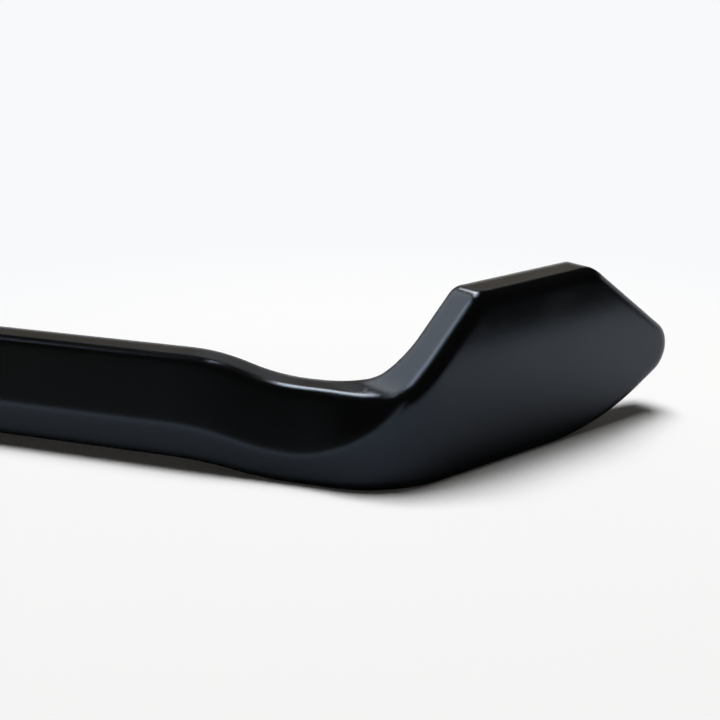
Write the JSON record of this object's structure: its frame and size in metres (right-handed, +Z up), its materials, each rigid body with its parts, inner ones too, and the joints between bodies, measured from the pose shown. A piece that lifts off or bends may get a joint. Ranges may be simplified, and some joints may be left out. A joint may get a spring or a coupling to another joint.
{
  "type": "brake lever guard",
  "caption": "One-piece moulded guard: a bar-end boss carries a bevelled arm that dips, turns inboard and widens into a fin-shaped blade in front of the brake lever's tip.",
  "frame": {"origin": "where the bolt axis meets the seat on the end of the handlebar", "axes": "+X inboard along the bolt axis, -Y forward along the arm, +Z up; it rests on the boss and the blade's foot at z = -11 mm"},
  "size_m": [0.0955, 0.1355, 0.0322],
  "materials": {
    "black_plastic": "satin black, fine moulded grain"
  },
  "bodies": {
    "root": {"lever_guard": "black_plastic"}
  },
  "joints": []
}
